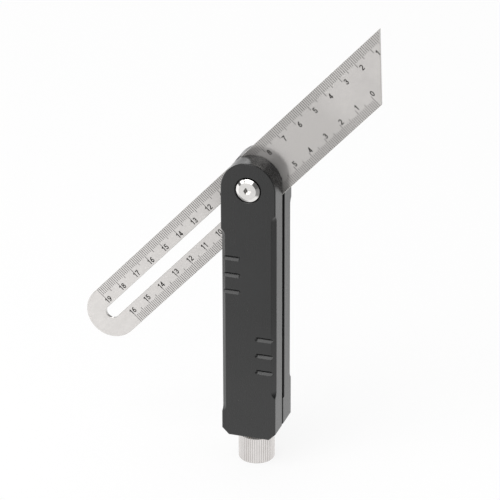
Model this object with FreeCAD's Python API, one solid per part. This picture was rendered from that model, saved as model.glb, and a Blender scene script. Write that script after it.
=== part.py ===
import FreeCAD
import Part
import math
import os

# A sliding bevel: a slotted steel rule blade that turns and slides between the two cheeks of a
# stock, and is pinched there by a knob at the stock's tail. Millimetres, +Z up, +X to the right,
# -Y towards the front cheek. The origin is the centre of the knob's flat end.

# Stock
stock_width = 24.8
stock_depth = 23.3
stock_height = 132.2
blade_gap = 3.2
gap_floor_height = 15.9
tail_corner_chamfer = 3.1
face_edge_bevel = 0.3
gap_edge_bevel = 0.2
seam_bevel = 0.2
seam_groove_depth = 1.2

# Long chamfers on the stock's upright edges, by the heights at which they fade out
flank_chamfer = 1.9
right_flank_low = 20.9
right_flank_high = 109.3
left_flank_low = 10.9
left_flank_high = 100.5
flank_fade_radius = 4.4

# Grip grooves, cut by a pointed tool
groove_width = 2.4
groove_depth = 1.0
groove_pitch = 8.0
groove_count = 3
left_groove_lowest = 70.8
right_groove_lowest = 33.2
left_groove_end = 3.35
right_groove_end = 2.95

# Blade
blade_length = 204.4
blade_width = 24.2
blade_thickness = 1.5
blade_offset = -0.6
blade_tip_angle = 45.0
blade_edge_break = 0.15
blade_slot_width = 5.9
blade_slot_past_pivot = 2.5
blade_tip_reach = 93.4
blade_rest_angle = 47.14

# Pivot screw and its nut
pivot_shank_diameter = 4.0
pivot_head_diameter = 10.6
pivot_head_depth = 2.8
pivot_head_flat_diameter = 7.8
pivot_head_crown = 0.9
pivot_head_side_clearance = 0.5
pivot_recess_bevel = 0.3
pivot_socket_across_flats = 3.0
pivot_socket_depth = 1.8
pivot_nut_barrel_diameter = 6.6
pivot_nut_barrel_length = 5.6
disc_spring_thickness = 0.5
disc_spring_rise = 0.3

# Guide bush and friction washers
guide_bush_diameter = 5.8
friction_washer_diameter = 12.0
washer_face_clearance = 0.02

# Knob
knob_diameter = 16.2
knob_height = 12.6
knob_gap = 2.4
knob_rim_chamfer = 0.4
knurl_depth = 0.3
knurl_count = 48
knob_spigot_diameter = 8.0
knob_bore_depth = 10.0

# Lock screw and what it carries
lock_screw_diameter = 5.0
lock_screw_tip_chamfer = 0.4
lock_screw_end_room = 1.0
thrust_washer_diameter = 9.0
thrust_washer_thickness = 0.5
wedge_base_height = 0.9
wedge_skirt_height = 1.0
wedge_diameter = 10.0
wedge_nose_diameter = 7.1
wedge_taper_height = 4.1
wedge_nose_height = 0.7
wedge_side_clearance = 0.15
wedge_room_above = 1.1
wedge_travel = 1.2
retaining_ring_diameter = 7.2
retaining_ring_thickness = 0.6
retaining_ring_groove_depth = 0.4
retaining_ring_mouth = 3.6
captive_nut_across_flats = 8.0
captive_nut_height = 5.0
captive_nut_web = 1.2

# Thrust pins
thrust_pin_diameter = 3.0
thrust_pin_end_wall = 2.5

# Tie screws and dowel pins
tie_screw_diameter = 2.5
tie_screw_head_diameter = 4.5
tie_screw_head_height = 2.5
tie_screw_spacing = 15.8
tie_screw_height = 12.2
tie_screw_engagement = 6.0
tie_screw_head_clearance = 0.1
tie_screw_socket_across_flats = 2.0
tie_screw_socket_depth = 1.3
dowel_diameter = 2.5
dowel_length = 8.0
dowel_spacing = 16.0
dowel_height = 4.4

# Clearances and the overrun of every cut
running_clearance = 0.05
seat_clearance = 0.02
overrun = 1.0

# Places worked out from the sizes above
stock_base = knob_height + knob_gap
stock_front = -stock_depth / 2
pivot_height = stock_base + stock_height - stock_width / 2
gap_floor = stock_base + gap_floor_height
wedge_base = stock_base + wedge_base_height
wedge_top = wedge_base + wedge_skirt_height + wedge_taper_height + wedge_nose_height
wedge_room_top = wedge_top + wedge_room_above
nut_base = wedge_room_top + captive_nut_web
nut_top = nut_base + captive_nut_height
shank_radius = lock_screw_diameter / 2
wedge_slope = (wedge_diameter - wedge_nose_diameter) / (2 * wedge_taper_height)
pin_height = wedge_base + wedge_skirt_height + wedge_taper_height / 2
tail_centre = blade_tip_reach - blade_length + blade_width / 2
wedge_room_radius = wedge_diameter / 2 + wedge_side_clearance


def vec(x, y, z):
    return FreeCAD.Vector(x, y, z)


def rod(radius, start, end):
    axis = end.sub(start)
    return Part.makeCylinder(radius, axis.Length, start, axis)


def upright(radius, low, high, x=0.0, y=0.0):
    return rod(radius, vec(x, y, low), vec(x, y, high))


def across(radius, near, far, x=0.0, z=0.0):
    return rod(radius, vec(x, near, z), vec(x, far, z))


def block(low, high):
    return Part.makeBox(high.x - low.x, high.y - low.y, high.z - low.z, low)


def face_of(edges):
    return Part.Face(Part.Wire(edges))


def polygon_face(points):
    return Part.Face(Part.makePolygon(points + [points[0]]))


def turned(profile, axis):
    """A solid of revolution about Z or Y. The profile lists radius and place along the axis."""
    if axis == "Z":
        points = [vec(r, 0, p) for r, p in profile]
        return polygon_face(points).revolve(vec(0, 0, 0), vec(0, 0, 1), 360)
    points = [vec(r, p, 0) for r, p in profile]
    return polygon_face(points).revolve(vec(0, 0, 0), vec(0, 1, 0), 360)


def hexagon(across_flats, centre, axis):
    """The six corners of a hexagon square to Y or Z, with two flats facing Z or Y."""
    corner = across_flats / math.sqrt(3)
    points = []
    for step in range(6):
        a = math.radians(60 * step)
        u, v = corner * math.cos(a), corner * math.sin(a)
        offset = vec(u, 0, v) if axis == "Y" else vec(u, v, 0)
        points.append(centre.add(offset))
    return points


def hex_prism(across_flats, start, end):
    axis = "Y" if start.z == end.z else "Z"
    return polygon_face(hexagon(across_flats, start, axis)).extrude(end.sub(start))


def edges_where(shape, test):
    """The edges on which every sampled point passes the test."""
    share_steps = (0.0, 0.25, 0.5, 0.75, 1.0)
    found = []
    for edge in shape.Edges:
        first, last = edge.FirstParameter, edge.LastParameter
        points = [edge.valueAt(first + (last - first) * share) for share in share_steps]
        if all(test(p) for p in points):
            found.append(edge)
    return found


def same(a, b):
    return abs(a - b) < 1e-6 * stock_height


# Stock

def stock_outline(inset=0):
    """The stock seen from the front, or a smaller outline that runs that far inside it."""
    half = stock_width / 2 - inset
    low = stock_base + inset
    high = pivot_height
    corner = tail_corner_chamfer - inset * (2 - math.sqrt(2))
    points = [
        vec(-half, 0, high),
        vec(-half, 0, low + corner),
        vec(-half + corner, 0, low),
        vec(half - corner, 0, low),
        vec(half, 0, low + corner),
        vec(half, 0, high),
    ]
    edges = [Part.LineSegment(a, b).toShape() for a, b in zip(points, points[1:])]
    crown = Part.Arc(vec(half, 0, high), vec(0, 0, high + half), vec(-half, 0, high))
    return edges + [crown.toShape()]


def fade_profile(height_low, height_high, depth):
    """Depth and height of a long chamfer's path. Its ends curve out to nothing at the edge."""
    radius = flank_fade_radius
    run = math.sqrt(2 * radius * depth - depth * depth)
    half_turn = math.atan2(run, radius - depth) / 2
    curves = []
    for height, way in ((height_low, 1), (height_high, -1)):
        start = stock_base + height
        full = (-depth, start + way * run)
        middle = (
            -depth + radius - radius * math.cos(half_turn),
            start + way * (run - radius * math.sin(half_turn)),
        )
        curves.append(((0.0, start), middle, full))
    return curves


def flank_cutter(side, height_low, height_high):
    """Cuts a 45 degree chamfer along one upright edge of the front cheek."""
    depth = flank_chamfer / math.sqrt(2)
    reach = depth + overrun
    outward = vec(side, -1, 0).normalize()
    along = vec(side, 1, 0).normalize()
    corner = vec(side * stock_width / 2, stock_front, 0)

    def place(point):
        n, z = point
        return corner.add(outward * n).add(vec(0, 0, z)).sub(along * reach)

    lower, upper = fade_profile(height_low, height_high, depth)
    arcs = [Part.Arc(*[place(p) for p in curve]).toShape() for curve in (lower, upper)]
    ring = [
        (lower[2], upper[2]),
        (upper[0], (overrun, upper[0][1])),
        ((overrun, upper[0][1]), (overrun, lower[0][1])),
        ((overrun, lower[0][1]), lower[0]),
    ]
    lines = [Part.LineSegment(place(a), place(b)).toShape() for a, b in ring]
    wire = Part.Wire(Part.__sortEdges__(arcs + lines))
    return Part.Face(wire).extrude(along * (2 * reach))


def groove_cutters():
    """V-shaped grooves with pointed round ends, which run out through the stock's sides."""
    half_mouth = groove_width / 2
    height = groove_depth + overrun
    reach = half_mouth * height / groove_depth
    outside = stock_front - overrun
    rows = ((-1, left_groove_end, left_groove_lowest), (1, right_groove_end, right_groove_lowest))
    cutters = []
    for side, end, lowest in rows:
        inner = side * (end + half_mouth)
        length = stock_width / 2 + overrun - end - half_mouth
        for step in range(groove_count):
            z = stock_base + lowest + step * groove_pitch
            cutters.append(
                Part.makeCone(reach, 0, height, vec(inner, outside, z), vec(0, 1, 0))
            )
            section = polygon_face(
                [
                    vec(inner, outside, z - reach),
                    vec(inner, outside + height, z),
                    vec(inner, outside, z + reach),
                ]
            )
            cutters.append(section.extrude(vec(side * length, 0, 0)))
    return cutters


def tail_pockets():
    """What both cheeks are hollowed by: half of each of these is in either cheek."""
    room = upright(wedge_room_radius, stock_base - overrun, wedge_room_top)
    nut = hex_prism(
        captive_nut_across_flats + 2 * seat_clearance,
        vec(0, 0, nut_base - seat_clearance),
        vec(0, 0, nut_top + seat_clearance),
    )
    passage = upright(
        shank_radius + running_clearance, stock_base, screw_end + lock_screw_end_room
    )
    far = -stock_front - thrust_pin_end_wall
    pins = across(thrust_pin_diameter / 2 + running_clearance, -far, far, z=pin_height)
    half_dowel = dowel_length / 2 + running_clearance
    dowels = [
        across(
            dowel_diameter / 2 + seat_clearance,
            -half_dowel,
            half_dowel,
            x=side * dowel_spacing / 2,
            z=stock_base + dowel_height,
        )
        for side in (-1, 1)
    ]
    return [room, nut, passage, pins] + dowels


def seam_rebate():
    """What the front cheek lacks round its tail, so that a groove runs along the seam."""
    half = stock_width / 2
    around = block(
        vec(-half - overrun, -blade_gap / 2, stock_base - overrun),
        vec(half + overrun, overrun, gap_floor),
    )
    land = face_of(stock_outline(seam_groove_depth)).extrude(vec(0, -blade_gap, 0))
    return around.cut(land)


def bare_cheek(with_rebate):
    """The front cheek with its outside shape, before the holes for the pivot and tie screws."""
    body = face_of(stock_outline()).extrude(vec(0, stock_front, 0))
    rim = edges_where(body, lambda p: same(p.y, stock_front))
    body = body.makeChamfer(face_edge_bevel, rim)
    half = stock_width / 2
    slot_low = vec(-half - overrun, -blade_gap / 2, gap_floor)
    slot_high = vec(half + overrun, overrun, stock_base + stock_height + overrun)
    hollows = [block(slot_low, slot_high)]
    if with_rebate:
        hollows.append(seam_rebate())
    body = body.cut(hollows).removeSplitter()
    outline = Part.Wire(stock_outline())

    def on_outline(p):
        return outline.distToShape(Part.Vertex(p.x, 0, p.z))[0] < face_edge_bevel / 2

    lips = edges_where(body, lambda p: same(p.y, -blade_gap / 2) and on_outline(p))
    body = body.makeChamfer(gap_edge_bevel, lips)
    if not with_rebate:
        seam = edges_where(body, lambda p: same(p.y, 0) and on_outline(p))
        body = body.makeChamfer(seam_bevel, seam)
    cutters = [
        flank_cutter(1, right_flank_low, right_flank_high),
        flank_cutter(-1, left_flank_low, left_flank_high),
    ]
    return body.cut(cutters + groove_cutters()).removeSplitter()


def pivot_recess(face, seat, way):
    """The round recess for a pivot head, with its rim broken. Way points into the stock."""
    radius = pivot_head_diameter / 2 + pivot_head_side_clearance
    height = pivot_recess_bevel + overrun
    rim = Part.makeCone(
        radius + height, radius, height, vec(0, face - way * overrun, pivot_height), vec(0, way, 0)
    )
    return [rim, across(radius, face - way * overrun, seat, z=pivot_height)]


def tie_screw_places():
    return [side * tie_screw_spacing / 2 for side in (-1, 1)]


def front_cheek():
    seat = stock_front + pivot_head_depth
    cutters = tail_pockets() + pivot_recess(stock_front, seat, 1)
    shank = pivot_shank_diameter / 2 + running_clearance
    cutters.append(across(shank, seat - overrun, overrun, z=pivot_height))
    for x in tie_screw_places():
        hole = tie_screw_diameter / 2 + seat_clearance
        depth = tie_screw_engagement + running_clearance
        cutters.append(across(hole, -depth, overrun, x=x, z=tie_screw_level))
    return bare_cheek(with_rebate=True).cut(cutters)


def rear_cheek():
    body = bare_cheek(with_rebate=False).mirror(vec(0, 0, 0), vec(0, 1, 0))
    back = -stock_front
    barrel = pivot_nut_barrel_diameter / 2 + running_clearance
    barrel_end = pivot_nut_head_face - pivot_nut_barrel_length - running_clearance
    shank = pivot_shank_diameter / 2 + running_clearance
    cutters = tail_pockets() + pivot_recess(back, disc_spring_seat, -1)
    cutters.append(across(barrel, barrel_end, back, z=pivot_height))
    cutters.append(across(shank, -overrun, back, z=pivot_height))
    for x in tie_screw_places():
        head = tie_screw_head_diameter / 2 + tie_screw_head_clearance
        hole = tie_screw_diameter / 2 + running_clearance
        seat = back - tie_screw_head_height
        cutters.append(across(head, seat, back + overrun, x=x, z=tie_screw_level))
        cutters.append(across(hole, -overrun, back, x=x, z=tie_screw_level))
    return body.cut(cutters)


# Blade

def blade():
    half = blade_width / 2
    face = -blade_thickness / 2
    corner = blade_tip_reach - blade_width / math.tan(math.radians(blade_tip_angle))
    tip = vec(blade_tip_reach, face, half)
    heel = vec(corner, face, -half)
    below = vec(tail_centre, face, -half)
    above = vec(tail_centre, face, half)
    end = Part.Arc(below, vec(tail_centre - half, face, 0), above).toShape()
    lines = [Part.LineSegment(a, b).toShape() for a, b in ((above, tip), (tip, heel), (heel, below))]
    plate = face_of([end] + lines).extrude(vec(0, blade_thickness, 0))
    round_end = blade_slot_width / 2
    through = blade_thickness / 2 + overrun
    slot = block(
        vec(tail_centre, -through, -round_end), vec(blade_slot_past_pivot, through, round_end)
    )
    for s in (tail_centre, blade_slot_past_pivot):
        slot = slot.fuse(across(round_end, -through, through, x=s))
    plate = plate.cut(slot.removeSplitter())
    rims = edges_where(plate, lambda p: same(abs(p.y), blade_thickness / 2))
    plate = plate.makeChamfer(blade_edge_break, rims)
    plate.rotate(vec(0, 0, 0), vec(0, 1, 0), -blade_rest_angle)
    plate.translate(vec(0, blade_offset, pivot_height))
    return plate


# Pivot

def round_head(rim, seat):
    """A disc with a bevelled crown: radius and place of its flat, its rim and its seat."""
    way = 1 if seat > rim else -1
    radius = pivot_head_diameter / 2
    flat = rim - way * pivot_head_crown
    return [(0.0, flat), (pivot_head_flat_diameter / 2, flat), (radius, rim), (radius, seat)]


def socket(face, way):
    return hex_prism(
        pivot_socket_across_flats,
        vec(0, face - way * overrun, pivot_height),
        vec(0, face + way * pivot_socket_depth, pivot_height),
    )


def pivot_screw():
    """Its crown stands proud of the front cheek, with the rim level with the cheek's face."""
    shank = pivot_shank_diameter / 2
    seat = stock_front + pivot_head_depth
    end = pivot_nut_head_face - seat_clearance
    profile = round_head(stock_front, seat) + [(shank, seat), (shank, end), (0.0, end)]
    screw = turned(profile, "Y")
    screw.translate(vec(0, 0, pivot_height))
    return screw.cut(socket(stock_front - pivot_head_crown, 1))


def pivot_nut():
    """Its crown is sunk, so that the stock lies flat on its rear face."""
    back = -stock_front
    barrel = pivot_nut_barrel_diameter / 2
    end = pivot_nut_head_face - pivot_nut_barrel_length
    profile = round_head(back - pivot_head_crown, pivot_nut_head_face)
    profile += [(barrel, pivot_nut_head_face), (barrel, end), (0.0, end)]
    nut = turned(profile, "Y")
    nut.translate(vec(0, 0, pivot_height))
    thread = across(
        pivot_shank_diameter / 2 + seat_clearance, -overrun, pivot_nut_head_face, z=pivot_height
    )
    return nut.cut([thread, socket(back, -1)])


def disc_spring():
    """A shallow cone of spring steel between the cheek and the nut's head."""
    inner = pivot_nut_barrel_diameter / 2 + running_clearance
    outer = pivot_head_diameter / 2
    low = disc_spring_seat + seat_clearance
    lift = low + disc_spring_rise
    profile = [
        (outer, low),
        (outer, low + disc_spring_thickness),
        (inner, lift + disc_spring_thickness),
        (inner, lift),
    ]
    spring = turned(profile, "Y")
    spring.translate(vec(0, 0, pivot_height))
    return spring


def guide_bush():
    half = blade_gap / 2 - running_clearance
    outer = across(guide_bush_diameter / 2, -half, half, z=pivot_height)
    bore = pivot_shank_diameter / 2 + running_clearance
    return outer.cut(across(bore, -blade_gap, blade_gap, z=pivot_height))


def friction_washer(side):
    near = blade_offset + side * (blade_thickness / 2 + washer_face_clearance)
    far = side * (blade_gap / 2 - washer_face_clearance)
    outer = across(friction_washer_diameter / 2, near, far, z=pivot_height)
    bore = guide_bush_diameter / 2 + running_clearance
    return outer.cut(across(bore, -blade_gap, blade_gap, z=pivot_height))


# Knob and lock screw

def knob_ring(tip, root, z):
    """Points round the knob, by turns on the ribs' tips and in the valleys between them."""
    points = []
    for step in range(2 * knurl_count):
        radius = root if step % 2 else tip
        a = math.pi * step / knurl_count
        points.append(vec(radius * math.cos(a), radius * math.sin(a), z))
    return points


def knob_chamfer(rim, knurl):
    """Triangles from a plain rim to the knurled ring. Each valley runs out to a point."""
    faces = []
    for i in range(len(knurl)):
        j = (i + 1) % len(knurl)
        root, tip = (i, j) if i % 2 else (j, i)
        faces.append(polygon_face([rim[i], rim[j], knurl[root]]))
        faces.append(polygon_face([rim[tip], knurl[root], knurl[tip]]))
    return faces


def knurled_knob():
    outer = knob_diameter / 2
    root = outer - knurl_depth
    rim = outer - knob_rim_chamfer
    rings = [
        knob_ring(rim, rim, 0),
        knob_ring(outer, root, knob_rim_chamfer),
        knob_ring(outer, root, knob_height - knob_rim_chamfer),
        knob_ring(rim, rim, knob_height),
    ]
    faces = [polygon_face(rings[0]), polygon_face(rings[3])]
    faces += knob_chamfer(rings[0], rings[1]) + knob_chamfer(rings[3], rings[2])
    for i in range(2 * knurl_count):
        j = (i + 1) % (2 * knurl_count)
        faces.append(polygon_face([rings[1][i], rings[1][j], rings[2][j], rings[2][i]]))
    grip = Part.makeSolid(Part.makeShell(faces))
    spigot = upright(knob_spigot_diameter / 2, knob_height - knob_rim_chamfer, spigot_top)
    bore = upright(shank_radius + seat_clearance, spigot_top - knob_bore_depth, spigot_top + overrun)
    return grip.fuse(spigot).cut(bore)


def lock_screw():
    low = spigot_top - knob_bore_depth + seat_clearance
    chamfer = lock_screw_tip_chamfer
    root = shank_radius - retaining_ring_groove_depth
    shank = turned(
        [
            (0.0, low),
            (shank_radius, low),
            (shank_radius, ring_base),
            (root, ring_base),
            (root, ring_top),
            (shank_radius, ring_top),
            (shank_radius, screw_end - chamfer),
            (shank_radius - chamfer, screw_end),
            (0.0, screw_end),
        ],
        "Z",
    )
    return shank


def thrust_washer():
    low = spigot_top + seat_clearance
    high = low + thrust_washer_thickness
    bore = upright(shank_radius + running_clearance, low - overrun, high + overrun)
    return upright(thrust_washer_diameter / 2, low, high).cut(bore)


def wedge_collar():
    wide = wedge_diameter / 2
    nose = wedge_nose_diameter / 2
    bore = shank_radius + running_clearance
    skirt = wedge_base + wedge_skirt_height
    taper = skirt + wedge_taper_height
    return turned(
        [
            (bore, wedge_base),
            (wide, wedge_base),
            (wide, skirt),
            (nose, taper),
            (nose, wedge_top),
            (bore, wedge_top),
        ],
        "Z",
    )


def retaining_ring():
    bore = shank_radius - retaining_ring_groove_depth + seat_clearance
    low = ring_base + seat_clearance
    high = low + retaining_ring_thickness
    outer = retaining_ring_diameter / 2
    ring = upright(outer, low, high).cut(upright(bore, low - overrun, high + overrun))
    half = retaining_ring_mouth / 2
    mouth = block(vec(0, -half, low - overrun), vec(outer + overrun, half, high + overrun))
    return ring.cut(mouth)


def captive_nut():
    body = hex_prism(captive_nut_across_flats, vec(0, 0, nut_base), vec(0, 0, nut_top))
    thread = upright(shank_radius + running_clearance, nut_base - overrun, nut_top + overrun)
    return body.cut(thread)


def thrust_pin(side):
    """A pin whose slanted end bears on the cone, and whose flat end on its hole's bottom.

    Above the slant the end is upright, so that it clears the wedge's nose all along its travel.
    """
    radius = thrust_pin_diameter / 2
    cone_radius = (wedge_diameter + wedge_nose_diameter) / 4
    bearing = cone_radius + seat_clearance / math.cos(math.atan(wedge_slope))
    clear = wedge_nose_diameter / 2 + seat_clearance + wedge_slope * wedge_travel
    slant_top = pin_height + (bearing - clear) / wedge_slope
    end = -stock_front - thrust_pin_end_wall - seat_clearance
    reach = radius + overrun
    low = pin_height - reach
    high = pin_height + reach
    slanted = polygon_face(
        [
            vec(-reach, 0, low),
            vec(-reach, side * (bearing + wedge_slope * reach), low),
            vec(-reach, side * clear, slant_top),
            vec(-reach, side * clear, high),
            vec(-reach, 0, high),
        ]
    )
    body = across(radius, 0, side * end, z=pin_height)
    return body.cut(slanted.extrude(vec(2 * reach, 0, 0)))


# Fasteners of the stock

def tie_screws():
    back = -stock_front
    seat = back - tie_screw_head_height + seat_clearance
    screws = []
    for x in tie_screw_places():
        head = across(tie_screw_head_diameter / 2, seat, back, x=x, z=tie_screw_level)
        shank = across(tie_screw_diameter / 2, -tie_screw_engagement, seat, x=x, z=tie_screw_level)
        key = hex_prism(
            tie_screw_socket_across_flats,
            vec(x, back + overrun, tie_screw_level),
            vec(x, back - tie_screw_socket_depth, tie_screw_level),
        )
        screws.append(head.fuse(shank).cut(key).removeSplitter())
    return Part.makeCompound(screws)


def dowel_pins():
    half = dowel_length / 2
    level = stock_base + dowel_height
    return Part.makeCompound(
        [
            across(dowel_diameter / 2, -half, half, x=side * dowel_spacing / 2, z=level)
            for side in (-1, 1)
        ]
    )


# Places that several pieces share
spigot_top = wedge_base - thrust_washer_thickness - 2 * seat_clearance
ring_base = wedge_top + seat_clearance
ring_top = ring_base + retaining_ring_thickness + 2 * seat_clearance
screw_end = nut_top + lock_screw_tip_chamfer
tie_screw_level = stock_base + tie_screw_height
pivot_nut_head_face = -stock_front - pivot_head_depth
disc_spring_seat = pivot_nut_head_face - disc_spring_thickness - disc_spring_rise - 2 * seat_clearance

NODES = {
    "front_cheek": front_cheek(),
    "rear_cheek": rear_cheek(),
    "blade": blade(),
    "pivot_screw": pivot_screw(),
    "pivot_nut": pivot_nut(),
    "disc_spring": disc_spring(),
    "guide_bush": guide_bush(),
    "front_friction_washer": friction_washer(-1),
    "rear_friction_washer": friction_washer(1),
    "knurled_knob": knurled_knob(),
    "lock_screw": lock_screw(),
    "thrust_washer": thrust_washer(),
    "wedge_collar": wedge_collar(),
    "retaining_ring": retaining_ring(),
    "captive_nut": captive_nut(),
    "front_thrust_pin": thrust_pin(-1),
    "rear_thrust_pin": thrust_pin(1),
    "tie_screws": tie_screws(),
    "dowel_pins": dowel_pins(),
}

os.makedirs("parts", exist_ok=True)
for name, shape in NODES.items():
    valid = shape.isValid() and all(solid.isClosed() for solid in shape.Solids)
    print(f"{name}: {len(shape.Solids)} solids, volume {shape.Volume:.1f}, valid {valid}")
    shape.exportStep(f"parts/{name}.step")
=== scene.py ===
import math

import bmesh
import bpy
from mathutils import Matrix, Vector, geometry


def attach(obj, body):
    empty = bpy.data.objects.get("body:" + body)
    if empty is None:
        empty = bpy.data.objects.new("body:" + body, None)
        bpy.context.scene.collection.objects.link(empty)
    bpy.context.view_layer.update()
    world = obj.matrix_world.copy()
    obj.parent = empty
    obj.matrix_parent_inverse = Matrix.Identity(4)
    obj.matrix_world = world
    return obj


# The looks of a sliding bevel: the CAD nodes' materials, the scale on its blade, and the studio.
# Metres, in the CAD's own frame: +Z up, -Y to the front, the origin at the knob's flat end.

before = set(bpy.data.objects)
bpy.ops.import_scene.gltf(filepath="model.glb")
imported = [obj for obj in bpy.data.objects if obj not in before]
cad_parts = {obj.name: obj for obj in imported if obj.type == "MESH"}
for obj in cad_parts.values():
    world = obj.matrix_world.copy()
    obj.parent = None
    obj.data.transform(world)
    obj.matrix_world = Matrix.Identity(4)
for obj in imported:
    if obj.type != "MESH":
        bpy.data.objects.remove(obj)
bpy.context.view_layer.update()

MM = 0.001

# Blade, as in the CAD
PIVOT_HEIGHT = 134.8 * MM
BLADE_ANGLE = math.radians(47.14)
BLADE_HALF_WIDTH = 12.1 * MM
BLADE_TIP = 93.4 * MM
BLADE_FACE = -1.35 * MM
BLADE_EDGE_BREAK = 0.15 * MM

# Where the blade's painted shade round the pivot and painted light on its slotted arm set in,
# measured from the pivot towards the tip
PIVOT_SHADE_REACH = 58.0 * MM
PIVOT_SHADE_FADE = 14.0 * MM
ARM_LIGHT_START = -8.0 * MM
ARM_LIGHT_FADE = 26.0 * MM

# Knob, as in the CAD
KNOB_RADIUS = 8.1 * MM
KNURL_DEPTH = 0.3 * MM

# Lathe rings on the pivot screw, in radians per metre
RING_PHASE = 14000.0

# Scale on the blade
MARK_PROUD = 0.012 * MM
MARK_SUNK = 0.02 * MM
TICK_WIDTH = 0.22 * MM
TICK_PITCH = 1.0 * MM
CM_TICK = 5.6 * MM
HALF_CM_TICK = 4.8 * MM
MM_TICK = 3.7 * MM
UPPER_ZERO = 93.6 * MM
UPPER_LAST = 190
LOWER_ZERO = 68.54 * MM
LOWER_LAST = 160
UPPER_LABEL_ROW = 5.22 * MM
LOWER_LABEL_ROW = -5.83 * MM
ONE_DIGIT_SHIFT = 1.4 * MM
TWO_DIGIT_SHIFT = 0.59 * MM

# Digits. All but their height are shares of it
DIGIT_HEIGHT = 2.6 * MM
DIGIT_WIDTH = 0.6
DIGIT_ADVANCE = 0.68
DIGIT_STROKE = 0.165
ARC_STEPS = 14
FLAG_DROP = 0.3
FLAG_WIDTH = 0.26

# Strokes: the least cosine at a corner, and the gaps at which points count as one
CORNER_LIMIT = 0.5
JOINED = 1e-6
WELD = 1e-5

# Camera
CAMERA_PLACE = (0.38666, -1.18957, 0.68206)
CAMERA_YAW = math.radians(18.132)
CAMERA_PITCH = math.radians(24.891)
CAMERA_ROLL = math.radians(-0.17)
CAMERA_SENSOR = 36.0
CAMERA_LENS = 227.65
CAMERA_CLIP = (0.05, 60.0)

# Floor. Its glow leaves a share to the shadow, and a larger one where the camera sees it
FLOOR_RADIUS = 14.0
FLOOR_SIDES = 64
FLOOR_GREY = 0.98
FLOOR_GLOW_SHARE = 0.87
FLOOR_SHADOW_SHARE = 0.08
FLOOR_WHITE = 1.031

# What reflections see of the floor: one level, and beyond the fade the sum of changes,
# each with its direction, the cosines between which it sets in, and its two values
FLOOR_REFLECTED = 1.04
FLOOR_FADE = (0.09, 0.17)
FLOOR_CHANGES = (
    ((1, 0, 0), -1.0, 1.0, 0.2, -0.42),
    ((0, -1, 0), 0.6, 0.95, 0.0, -0.2),
    ((0, 1, 0), 0.5, 0.95, 0.0, 0.19),
    ((0.5, -0.87, 0), 0.78, 0.97, 0.0, -0.38),
)

# World: its light on things, and the room that reflections see, pale low down and behind
SKY_LEVEL = 0.62
ROOM_LEVELS = (0.15, 1.0)
ROOM_HEIGHTS = (0.36, 0.08)
ROOM_DEPTHS = (-0.3, 0.1)

# Softboxes: direction from the object, distance, width, height and radiance
SOFTBOX_AIM = (0, 0, 0.11)
SOFTBOXES = {
    "front_softbox": ((-0.15, -0.83, 0.53), 1.9, 1.7, 0.6, 2.5),
    "left_softbox": ((-0.73, -0.56, 0.38), 1.6, 0.8, 0.45, 1.6),
    "top_softbox": ((-0.27, -0.52, 0.81), 1.1, 0.6, 0.5, 2.4),
    "back_softbox": ((-0.37, 0.84, 0.40), 1.5, 0.5, 0.35, 2.2),
}

# Rays of each rounded normal
BEVEL_SAMPLES = 6


# Node helpers

def graph(name):
    """A new material, its node tree, its main shader and the object's own coordinates."""
    material = bpy.data.materials.new(name)
    material.use_nodes = True
    tree = material.node_tree
    shader = tree.nodes["Principled BSDF"]
    coordinates = tree.nodes.new("ShaderNodeTexCoord").outputs["Object"]
    return material, tree, shader, coordinates


def feed(tree, target, value):
    """Links a socket to the target, or sets the target to a plain value."""
    if isinstance(value, bpy.types.NodeSocket):
        tree.links.new(value, target)
    else:
        target.default_value = value


def placed(tree, vector, scale=(1, 1, 1), rotation=(0, 0, 0), location=(0, 0, 0)):
    node = tree.nodes.new("ShaderNodeMapping")
    tree.links.new(vector, node.inputs["Vector"])
    node.inputs["Scale"].default_value = scale
    node.inputs["Rotation"].default_value = rotation
    node.inputs["Location"].default_value = location
    return node.outputs["Vector"]


def noise(tree, vector, scale, detail=3.0, roughness=0.5):
    node = tree.nodes.new("ShaderNodeTexNoise")
    tree.links.new(vector, node.inputs["Vector"])
    node.inputs["Scale"].default_value = scale
    node.inputs["Detail"].default_value = detail
    node.inputs["Roughness"].default_value = roughness
    return node.outputs["Fac"]


def ranged(tree, value, low, high, start=0.3, end=0.7, smooth=False):
    """Low at start and high at end, which by default are where most of a noise lies."""
    node = tree.nodes.new("ShaderNodeMapRange")
    tree.links.new(value, node.inputs["Value"])
    if smooth:
        node.interpolation_type = "SMOOTHSTEP"
    node.inputs["From Min"].default_value = start
    node.inputs["From Max"].default_value = end
    node.inputs["To Min"].default_value = low
    node.inputs["To Max"].default_value = high
    return node.outputs["Result"]


def maths(tree, kind, a, b=0.0):
    node = tree.nodes.new("ShaderNodeMath")
    node.operation = kind
    feed(tree, node.inputs[0], a)
    feed(tree, node.inputs[1], b)
    return node.outputs["Value"]


def vector_maths(tree, kind, a, b=None):
    node = tree.nodes.new("ShaderNodeVectorMath")
    node.operation = kind
    tree.links.new(a, node.inputs[0])
    if b is not None:
        feed(tree, node.inputs[1], b)
    return node.outputs["Value" if kind in ("DOT_PRODUCT", "LENGTH") else "Vector"]


def mixed(tree, share, first, second, kind="RGBA"):
    """A colour between two, or with FLOAT as its kind a number."""
    node = tree.nodes.new("ShaderNodeMix")
    node.data_type = kind
    feed(tree, node.inputs["Factor"], share)
    feed(tree, node.inputs["A"], first)
    feed(tree, node.inputs["B"], second)
    return node.outputs["Result"]


def clouded(tree, cloud, tints):
    """The two tints in soft patches."""
    return mixed(tree, ranged(tree, cloud, 0, 1), *tints)


def bumped(tree, height, depth, normal=None, strength=1.0):
    node = tree.nodes.new("ShaderNodeBump")
    tree.links.new(height, node.inputs["Height"])
    node.inputs["Distance"].default_value = depth
    node.inputs["Strength"].default_value = strength
    if normal is not None:
        tree.links.new(normal, node.inputs["Normal"])
    return node.outputs["Normal"]


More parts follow.
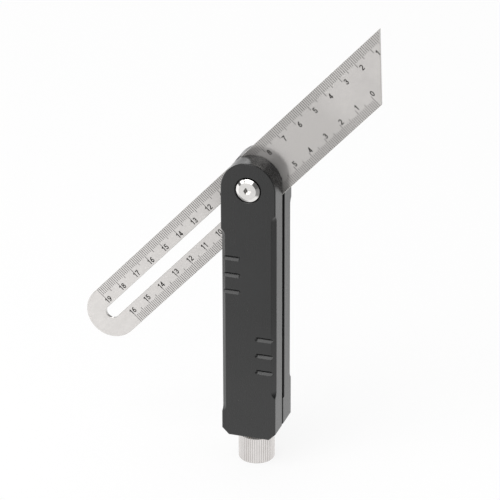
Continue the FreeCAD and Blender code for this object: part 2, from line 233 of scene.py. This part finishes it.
def rounded(tree, radius):
    """The normal as if edges had that radius."""
    node = tree.nodes.new("ShaderNodeBevel")
    node.samples = BEVEL_SAMPLES
    node.inputs["Radius"].default_value = radius
    return node.outputs["Normal"]


def edge_share(tree, radius, start, end):
    """0 on flat surfaces, rising to 1 at edges."""
    flat = tree.nodes.new("ShaderNodeNewGeometry").outputs["True Normal"]
    turn = vector_maths(tree, "DOT_PRODUCT", rounded(tree, radius), flat)
    return ranged(tree, turn, 0.0, 1.0, start, end)


def seen_by_camera(tree):
    """1 for what the camera sees directly."""
    return tree.nodes.new("ShaderNodeLightPath").outputs["Is Camera Ray"]


def seen_share(tree):
    """1 for what the camera, a reflection or a clear body sees, 0 for light that falls on things."""
    path = tree.nodes.new("ShaderNodeLightPath").outputs
    seen = maths(tree, "MAXIMUM", path["Is Camera Ray"], path["Is Glossy Ray"])
    return maths(tree, "MAXIMUM", seen, path["Is Transmission Ray"])


def finish(tree, shader, tint, rough, normal=None, metallic=0.0):
    """Gives the shader its tint, its roughness and its normal."""
    tree.links.new(tint, shader.inputs["Base Color"])
    tree.links.new(rough, shader.inputs["Roughness"])
    shader.inputs["Metallic"].default_value = metallic
    if normal is not None:
        tree.links.new(normal, shader.inputs["Normal"])


def grey(level, warmth=0.0):
    return (level * (1 + warmth), level, level * (1 - warmth), 1)


# Materials. A noise's scale is in features per metre

ANODISED = (grey(0.0082), grey(0.0118, -0.02))
ANODISED_WORN = grey(0.08)
STEEL = ((0.62, 0.60, 0.583, 1), (0.675, 0.653, 0.634, 1))
# The next two are painted tones: shade round the pivot, and light on the slotted arm
STEEL_PIVOT_SHADE = (0.555, 0.537, 0.521, 1)
STEEL_ARM_LIGHT = (0.69, 0.668, 0.65, 1)
STEEL_WORN = (0.545, 0.527, 0.512, 1)
ETCHED = (grey(0.012, 0.1), grey(0.03, 0.1))
CHROME = (grey(0.75, 0.02), grey(0.82, 0.02))
NICKEL = ((0.70, 0.67, 0.655, 1), (0.78, 0.755, 0.74, 1))
# Painted shade for the knurl valleys
NICKEL_VALLEY_SHADE = (0.30, 0.285, 0.28, 1)
PLAIN_STEEL = (grey(0.50), grey(0.60))
BLACK_STEEL = (grey(0.035), grey(0.06))
BRASS = ((0.62, 0.44, 0.19, 1), (0.72, 0.53, 0.25, 1))
NYLON = (grey(0.02), grey(0.032))


def black_anodised():
    """Fine-blasted aluminium, anodised black, a little worn along its edges."""
    material, tree, shader, place = graph("black_anodised")
    grain = noise(tree, place, 7000, 2.0)
    cloud = noise(tree, place, 55, 4.0)
    drawn = noise(tree, placed(tree, place, scale=(1, 1, 0.01)), 1500, 3.0)
    edges = edge_share(tree, 0.22 * MM, 0.985, 0.93)
    patchy = ranged(tree, noise(tree, place, 240, 5.0), 0.0, 0.3, 0.45, 0.75)
    wear = maths(tree, "MULTIPLY", edges, patchy)
    tint = mixed(tree, wear, clouded(tree, cloud, ANODISED), ANODISED_WORN)
    rough = maths(tree, "ADD", ranged(tree, cloud, 0.26, 0.3), ranged(tree, drawn, -0.02, 0.02))
    shader.inputs["IOR"].default_value = 1.6
    normal = bumped(tree, grain, 0.01 * MM, rounded(tree, 0.35 * MM), 0.6)
    finish(tree, shader, tint, rough, bumped(tree, drawn, 0.003 * MM, normal))
    return material


def satin_steel():
    """Frosted rule steel, with faint lines along the blade.

    It has painted shade round the pivot, where the cheeks stand, and a painted lighter tone on its
    slotted arm.
    """
    material, tree, shader, place = graph("satin_steel")
    along = placed(tree, place, rotation=(0, BLADE_ANGLE, 0))
    lines = noise(tree, placed(tree, along, scale=(0.03, 1, 1)), 5200, 3.0)
    cloud = noise(tree, place, 90, 5.0, 0.6)
    patch = noise(tree, placed(tree, along, scale=(0.5, 1, 1)), 420, 4.0, 0.6)
    run = Vector((math.cos(BLADE_ANGLE), 0, math.sin(BLADE_ANGLE)))
    reach = vector_maths(tree, "DOT_PRODUCT", place, run)
    station = maths(tree, "SUBTRACT", reach, run.z * PIVOT_HEIGHT)
    # Painted shade round the pivot, and a painted lighter tone on the slotted arm
    pivot_shade = ranged(tree, station, 1.0, 0.0, PIVOT_SHADE_REACH - PIVOT_SHADE_FADE, PIVOT_SHADE_REACH, smooth=True)
    arm_light = ranged(tree, station, 1.0, 0.0, ARM_LIGHT_START - ARM_LIGHT_FADE, ARM_LIGHT_START, smooth=True)
    tint = mixed(tree, pivot_shade, clouded(tree, cloud, STEEL), STEEL_PIVOT_SHADE)
    tint = mixed(tree, arm_light, tint, STEEL_ARM_LIGHT)
    tint = mixed(tree, ranged(tree, patch, 0.0, 0.3), tint, STEEL_WORN)
    rough = maths(tree, "ADD", ranged(tree, cloud, 0.17, 0.21), ranged(tree, lines, -0.03, 0.03))
    frost = noise(tree, place, 1500, 3.0)
    normal = bumped(tree, frost, 0.001 * MM, rounded(tree, 0.08 * MM))
    finish(tree, shader, tint, rough, normal, metallic=0.62)
    return material


def etched_black():
    """The darkened surface of the blade's etched marks."""
    material, tree, shader, place = graph("etched_black")
    fleck = noise(tree, place, 2600, 4.0)
    shader.inputs["Specular IOR Level"].default_value = 0.2
    finish(tree, shader, clouded(tree, fleck, ETCHED), ranged(tree, fleck, 0.6, 0.8))
    return material


def turned_chrome():
    """Polished steel with the fine rings that a lathe leaves round the pivot."""
    material, tree, shader, place = graph("turned_chrome")
    radial = placed(tree, place, scale=(1, 0, 1), location=(0, 0, -PIVOT_HEIGHT))
    radius = vector_maths(tree, "LENGTH", radial)
    waver = ranged(tree, noise(tree, place, 900, 2.0), -0.04 * MM, 0.04 * MM)
    phase = maths(tree, "MULTIPLY", maths(tree, "ADD", radius, waver), RING_PHASE)
    haze = noise(tree, place, 700, 4.0)
    normal = bumped(tree, maths(tree, "SINE", phase), 0.002 * MM, rounded(tree, 0.12 * MM))
    rough = ranged(tree, haze, 0.07, 0.12)
    finish(tree, shader, clouded(tree, haze, CHROME), rough, normal, metallic=1.0)
    return material


def knob_nickel():
    """Matt nickel over the knurling, with painted shade down in its valleys, and small dulled
    patches.
    """
    material, tree, shader, place = graph("knob_nickel")
    cloud = noise(tree, place, 260, 5.0, 0.6)
    drawn = noise(tree, placed(tree, place, scale=(1, 1, 0.06)), 2600, 3.0)
    radius = vector_maths(tree, "LENGTH", placed(tree, place, scale=(1, 1, 0)))
    root = KNOB_RADIUS - KNURL_DEPTH
    # Painted shade down in the knurl valleys
    valley = ranged(tree, radius, 0.5, 0.0, root, root + KNURL_DEPTH / 2)
    inner = ranged(tree, radius, 0.0, 1.0, root - KNURL_DEPTH, root)
    valley_shade = maths(tree, "MULTIPLY", valley, inner)
    tint = mixed(tree, valley_shade, clouded(tree, cloud, NICKEL), NICKEL_VALLEY_SHADE)
    normal = bumped(tree, drawn, 0.008 * MM, rounded(tree, 0.1 * MM))
    finish(tree, shader, tint, ranged(tree, cloud, 0.2, 0.3), normal, metallic=1.0)
    return material


def metal(name, tints, smoothest, roughest):
    """A plain machined metal between two tints, with a fine grain."""
    material, tree, shader, place = graph(name)
    cloud = noise(tree, place, 500, 5.0, 0.6)
    grain = noise(tree, place, 4500, 2.0)
    normal = bumped(tree, grain, 0.004 * MM, rounded(tree, 0.1 * MM))
    rough = ranged(tree, cloud, smoothest, roughest)
    finish(tree, shader, clouded(tree, cloud, tints), rough, normal, metallic=1.0)
    return material


def nylon():
    """Black moulded plastic."""
    material, tree, shader, place = graph("nylon")
    cloud = noise(tree, place, 600, 4.0)
    finish(tree, shader, clouded(tree, cloud, NYLON), ranged(tree, cloud, 0.45, 0.55))
    return material


def dress_nodes():
    steel = metal("plain_steel", PLAIN_STEEL, 0.25, 0.38)
    black = metal("black_steel", BLACK_STEEL, 0.35, 0.5)
    yellow = metal("brass", BRASS, 0.22, 0.35)
    plastic = nylon()
    anodised = black_anodised()
    chrome = turned_chrome()
    finishes = {
        "front_cheek": anodised,
        "rear_cheek": anodised,
        "blade": satin_steel(),
        "pivot_screw": chrome,
        "pivot_nut": chrome,
        "disc_spring": steel,
        "guide_bush": yellow,
        "front_friction_washer": plastic,
        "rear_friction_washer": plastic,
        "knurled_knob": knob_nickel(),
        "lock_screw": steel,
        "thrust_washer": yellow,
        "wedge_collar": steel,
        "retaining_ring": steel,
        "captive_nut": yellow,
        "front_thrust_pin": steel,
        "rear_thrust_pin": steel,
        "tie_screws": black,
        "dowel_pins": steel,
    }
    for name, material in finishes.items():
        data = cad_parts[name].data
        data.materials.clear()
        data.materials.append(material)


# Digits, drawn by pen strokes in a field as high as 1

def arc(centre, radii, first, last):
    """Points of an elliptic arc. Angles are in degrees, and a falling angle runs clockwise."""
    points = []
    for step in range(ARC_STEPS + 1):
        a = math.radians(first + (last - first) * step / ARC_STEPS)
        points.append((centre[0] + radii[0] * math.cos(a), centre[1] + radii[1] * math.sin(a)))
    return points


def digit_strokes():
    """The middle lines of each digit's strokes."""
    left, right = DIGIT_STROKE / 2, DIGIT_WIDTH - DIGIT_STROKE / 2
    low, high = DIGIT_STROKE / 2, 1 - DIGIT_STROKE / 2
    middle, half = DIGIT_WIDTH / 2, DIGIT_WIDTH / 2 - DIGIT_STROKE / 2
    stem = 0.64 * DIGIT_WIDTH
    bowl = 0.325
    six = [
        arc((middle, bowl), (half, bowl - low), 0, 360),
        arc((right, bowl), (right - left, high - bowl), 180, 92)[:-3] + [(0.46, 0.915), (0.5, 0.8)],
    ]
    nine = [[(DIGIT_WIDTH - x, 1 - y) for x, y in stroke] for stroke in six]
    return {
        "0": [arc((middle, 0.5), (half, 0.5 - low), 0, 360)],
        "1": [[(stem, 0), (stem, 1)], [(stem, 0.93), (stem - FLAG_WIDTH, 1 - FLAG_DROP)]],
        "2": [
            arc((middle, 0.70), (half, high - 0.70), 172, -28)
            + [(0.68 * DIGIT_WIDTH, 0.45), (0.3 * DIGIT_WIDTH, 0.22), (left, low)],
            [(0.3 * left, low), (DIGIT_WIDTH, low)],
        ],
        "3": [
            arc((middle, 0.72), (0.9 * half, high - 0.72), 168, -90),
            arc((middle, 0.31), (half, 0.31 - low), 90, -168),
            [(0.68 * middle, 0.52), (middle + left, 0.52)],
        ],
        "4": [
            [(0.68 * DIGIT_WIDTH, 0), (0.68 * DIGIT_WIDTH, 1)],
            [(0.64 * DIGIT_WIDTH, 0.93), (left, 0.3)],
            [(0, 0.29), (DIGIT_WIDTH, 0.29)],
        ],
        "5": [
            [(0.19 * DIGIT_WIDTH, high), (0.93 * DIGIT_WIDTH, high)],
            [(0.26 * DIGIT_WIDTH, 1 - 0.3 * low), (0.18 * DIGIT_WIDTH, 0.5)],
            arc((middle, 0.335), (half, 0.335 - low), 140, -165),
        ],
        "6": six,
        "7": [
            [(0, high), (DIGIT_WIDTH, high)],
            [(0.88 * DIGIT_WIDTH, high), (0.56 * DIGIT_WIDTH, 0.55), (0.38 * DIGIT_WIDTH, 0)],
        ],
        "8": [
            arc((middle, 0.73), (0.86 * half, high - 0.73), 0, 360),
            arc((middle, 0.31), (half, 0.31 - low), 0, 360),
        ],
        "9": nine,
    }


def stroke_quads(points):
    """Four-sided pieces that cover a pen's stroke along those points."""
    closed = math.dist(points[0], points[-1]) < JOINED
    line = [Vector(p) for p in points]
    ways = [(b - a).normalized() for a, b in zip(line, line[1:])]
    sides = []
    for i, point in enumerate(line):
        before = ways[i - 1] if i or closed else ways[0]
        after = ways[i] if i < len(ways) else (ways[0] if closed else ways[-1])
        turn = (before + after).normalized()
        reach = DIGIT_STROKE / 2 / max(turn.dot(after), CORNER_LIMIT)
        out = Vector((-turn.y, turn.x)) * reach
        sides.append((point + out, point - out))
    return [(a[1], b[1], b[0], a[0]) for a, b in zip(sides, sides[1:])]


def filled(strokes):
    """The strokes' joined area: its points, its triangles and its outer edges."""
    corners, quads = [], []
    for stroke in strokes:
        for quad in stroke_quads(stroke):
            quads.append(list(range(len(corners), len(corners) + 4)))
            corners += quad
    points, _, faces, _, _, origins = geometry.delaunay_2d_cdt(corners, [], quads, 1, WELD)
    triangles = [list(face) for face, origin in zip(faces, origins) if origin]
    edges = dict.fromkeys(
        (a, face[(i + 1) % len(face)]) for face in triangles for i, a in enumerate(face)
    )
    rims = [(a, b) for a, b in edges if (b, a) not in edges]
    return points, triangles, rims


def add_prism(mesh, shape, place):
    """A closed mark. place turns a point of the shape into one of the blade's front face."""
    points, triangles, rims = shape
    used = sorted({i for face in triangles for i in face})
    top = {i: mesh.verts.new(place(points[i], MARK_PROUD)) for i in used}
    bottom = {i: mesh.verts.new(place(points[i], -MARK_SUNK)) for i in used}
    for face in triangles:
        mesh.faces.new([top[i] for i in face])
        mesh.faces.new([bottom[i] for i in reversed(face)])
    for a, b in rims:
        mesh.faces.new([top[b], top[a], bottom[a], bottom[b]])


# Scale

def on_blade(along, across, proud=0.0):
    """The point of the blade's front face at those distances from the pivot."""
    c, s = math.cos(BLADE_ANGLE), math.sin(BLADE_ANGLE)
    x = along * c - across * s
    z = PIVOT_HEIGHT + along * s + across * c
    return Vector((x, BLADE_FACE - proud, z))


def as_object(name, mesh):
    data = bpy.data.meshes.new(name)
    mesh.to_mesh(data)
    mesh.free()
    made = bpy.data.objects.new(name, data)
    bpy.context.scene.collection.objects.link(made)
    return made


def tick_length(number):
    if number % 10 == 0:
        return CM_TICK
    if number % 5 == 0:
        return HALF_CM_TICK
    return MM_TICK


def tick_spans():
    """Where each tick lies: its place along the blade, and its outer and inner ends across it."""
    edge = BLADE_HALF_WIDTH - BLADE_EDGE_BREAK
    spans = []
    for zero, last, side in ((UPPER_ZERO, UPPER_LAST, 1), (LOWER_ZERO, LOWER_LAST, -1)):
        for number in range(last + 1):
            place = zero - number * TICK_PITCH
            outer = side * edge
            inner = outer - side * tick_length(number)
            if side > 0:
                # The slanting tip cuts the first ticks short
                lowest = place + 2 * TICK_WIDTH - BLADE_TIP + BLADE_HALF_WIDTH
                inner = max(inner, lowest)
            if side * (outer - inner) > 2 * TICK_WIDTH:
                spans.append((place, outer, inner))
    return spans


def scale_lines():
    mesh = bmesh.new()
    faces = [[0, 1, 2, 3]]
    rims = [(0, 1), (1, 2), (2, 3), (3, 0)]
    for place, outer, inner in tick_spans():
        low, high = sorted((outer, inner))
        left, right = place - TICK_WIDTH / 2, place + TICK_WIDTH / 2
        corners = [(left, low), (right, low), (right, high), (left, high)]
        add_prism(mesh, (corners, faces, rims), lambda p, proud: on_blade(*p, proud))
    return as_object("scale_lines", mesh)


def scale_numbers():
    rows = (
        (UPPER_ZERO, 1, UPPER_LAST // 10, UPPER_LABEL_ROW),
        (LOWER_ZERO, 0, LOWER_LAST // 10, LOWER_LABEL_ROW),
    )
    shapes = {digit: filled(strokes) for digit, strokes in digit_strokes().items()}
    mesh = bmesh.new()
    for zero, first, last, row in rows:
        for number in range(first, last + 1):
            text = str(number)
            shift = ONE_DIGIT_SHIFT if len(text) == 1 else TWO_DIGIT_SHIFT
            width = (DIGIT_ADVANCE * (len(text) - 1) + DIGIT_WIDTH) * DIGIT_HEIGHT
            start = zero - 10 * number * TICK_PITCH + shift - width / 2
            for i, digit in enumerate(text):
                left = start + i * DIGIT_ADVANCE * DIGIT_HEIGHT
                base = row - DIGIT_HEIGHT / 2

                def place(p, proud):
                    return on_blade(left + p[0] * DIGIT_HEIGHT, base + p[1] * DIGIT_HEIGHT, proud)

                add_prism(mesh, shapes[digit], place)
    return as_object("scale_numbers", mesh)


def blade_scale():
    dark = etched_black()
    for piece in (scale_lines(), scale_numbers()):
        piece.data.materials.append(dark)
        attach(piece, "blade")


# Studio

def towards(tree, vector, way, start, end, low=0.0, high=1.0):
    """A smooth step by how far a direction points along another."""
    across = vector_maths(tree, "DOT_PRODUCT", vector, Vector(way).normalized())
    return ranged(tree, across, low, high, start, end, smooth=True)


def floor_glow(tree, place):
    """The floor's glow and its share: white, and in reflections brightest to the left and behind."""
    flat = placed(tree, place, scale=(1, 1, 0))
    level = vector_maths(tree, "NORMALIZE", flat)
    change = 0.0
    for direction, start, end, low, high in FLOOR_CHANGES:
        change = maths(tree, "ADD", towards(tree, level, direction, start, end, low, high), change)
    distance = vector_maths(tree, "LENGTH", flat)
    away = ranged(tree, distance, 0.0, 1.0, *FLOOR_FADE, smooth=True)
    shown = maths(tree, "ADD", maths(tree, "MULTIPLY", change, away), FLOOR_REFLECTED)
    camera_ray = seen_by_camera(tree)
    share = maths(tree, "MULTIPLY", seen_share(tree), FLOOR_GLOW_SHARE)
    less = maths(tree, "MULTIPLY", camera_ray, FLOOR_SHADOW_SHARE)
    strength = mixed(tree, camera_ray, shown, FLOOR_WHITE, "FLOAT")
    return strength, maths(tree, "SUBTRACT", share, less)


def studio_floor():
    mesh = bmesh.new()
    bmesh.ops.create_circle(mesh, cap_ends=True, segments=FLOOR_SIDES, radius=FLOOR_RADIUS)
    floor = as_object("floor", mesh)
    material, tree, shader, place = graph("floor")
    tree.nodes.remove(shader)
    matt = tree.nodes.new("ShaderNodeBsdfDiffuse")
    matt.inputs["Color"].default_value = grey(FLOOR_GREY)
    glow = tree.nodes.new("ShaderNodeEmission")
    glow.inputs["Color"].default_value = grey(1.0)
    strength, share = floor_glow(tree, place)
    tree.links.new(strength, glow.inputs["Strength"])
    mix = tree.nodes.new("ShaderNodeMixShader")
    tree.links.new(share, mix.inputs["Fac"])
    tree.links.new(matt.outputs["BSDF"], mix.inputs[1])
    tree.links.new(glow.outputs["Emission"], mix.inputs[2])
    tree.links.new(mix.outputs["Shader"], tree.nodes["Material Output"].inputs["Surface"])
    floor.data.materials.append(material)


def world_light():
    """Even light on things, white for the camera, and in reflections a room that is pale behind."""
    world = bpy.data.worlds.new("studio")
    bpy.context.scene.world = world
    world.use_nodes = True
    tree = world.node_tree
    way = tree.nodes.new("ShaderNodeTexCoord").outputs["Generated"]
    near_horizon = towards(tree, way, (0, 0, 1), *ROOM_HEIGHTS)
    behind = towards(tree, way, (0, 1, 0), *ROOM_DEPTHS)
    backdrop = ranged(tree, maths(tree, "MULTIPLY", near_horizon, behind), *ROOM_LEVELS, 0, 1)
    shown = maths(tree, "MAXIMUM", backdrop, seen_by_camera(tree))
    background = tree.nodes["Background"]
    background.inputs["Color"].default_value = grey(1.0)
    strength = mixed(tree, seen_share(tree), SKY_LEVEL, shown, "FLOAT")
    tree.links.new(strength, background.inputs["Strength"])


def softbox(name, way, distance, width, height, radiance):
    """An area lamp that lies in that direction from the object and faces it."""
    data = bpy.data.lights.new(name, "AREA")
    data.shape = "RECTANGLE"
    data.size = width
    data.size_y = height
    data.energy = math.pi * radiance * width * height
    made = bpy.data.objects.new(name, data)
    bpy.context.scene.collection.objects.link(made)
    out = Vector(way).normalized()
    made.location = Vector(SOFTBOX_AIM) + out * distance
    made.rotation_mode = "QUATERNION"
    made.rotation_quaternion = (-out).to_track_quat("-Z", "Y")


def studio():
    studio_floor()
    world_light()
    for name, measures in SOFTBOXES.items():
        softbox(name, *measures)


def camera():
    ahead = Vector((-math.sin(CAMERA_YAW), math.cos(CAMERA_YAW), 0))
    forward = ahead * math.cos(CAMERA_PITCH) + Vector((0, 0, -math.sin(CAMERA_PITCH)))
    right = Vector((math.cos(CAMERA_YAW), math.sin(CAMERA_YAW), 0))
    up = right.cross(forward)
    across = right * math.cos(CAMERA_ROLL) + up * math.sin(CAMERA_ROLL)
    upward = up * math.cos(CAMERA_ROLL) - right * math.sin(CAMERA_ROLL)
    data = bpy.data.cameras.new("camera")
    data.sensor_width = CAMERA_SENSOR
    data.lens = CAMERA_LENS
    data.clip_start, data.clip_end = CAMERA_CLIP
    made = bpy.data.objects.new("camera", data)
    bpy.context.scene.collection.objects.link(made)
    turn = Matrix((across, upward, -forward)).transposed().to_4x4()
    made.matrix_world = Matrix.Translation(CAMERA_PLACE) @ turn
    bpy.context.scene.camera = made


camera()
dress_nodes()
blade_scale()
studio()
bpy.context.scene.view_settings.view_transform = "Standard"
